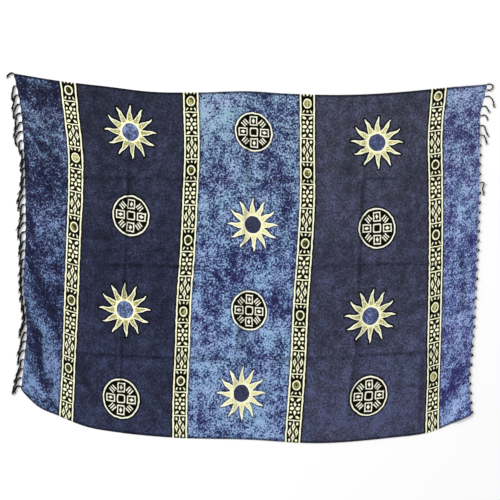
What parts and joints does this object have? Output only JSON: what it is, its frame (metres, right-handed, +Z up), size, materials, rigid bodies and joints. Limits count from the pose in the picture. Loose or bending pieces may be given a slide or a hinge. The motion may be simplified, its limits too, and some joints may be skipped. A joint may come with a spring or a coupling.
{
  "type": "batik sarong",
  "caption": "Rectangular batik sarong in mottled blue and navy with sun and medallion motifs, patterned bands and knotted tassel ends, laid out flat.",
  "frame": {"origin": "centre of the whole outline, tassels included, on the surface that the cloth lies on", "axes": "+X along the long way of the cloth, from the left tassels to the right ones; +Y from the bottom hem to the top hem; +Z up, out of the dyed face"},
  "size_m": [1.6199, 1.222, 0.0117],
  "materials": {
    "dyed_rayon": "soft matt rayon, wax-resist dyed in navy, blue and cream",
    "hem_rayon": "the same rayon turned twice and stitched, near black",
    "cord_yarn": "twisted rayon yarn, matt near-black navy"
  },
  "bodies": {
    "root": {"cloth_panel": "dyed_rayon", "hem_top": "hem_rayon", "hem_bottom": "hem_rayon", "fringe_left": "cord_yarn", "fringe_right": "cord_yarn"}
  },
  "joints": []
}
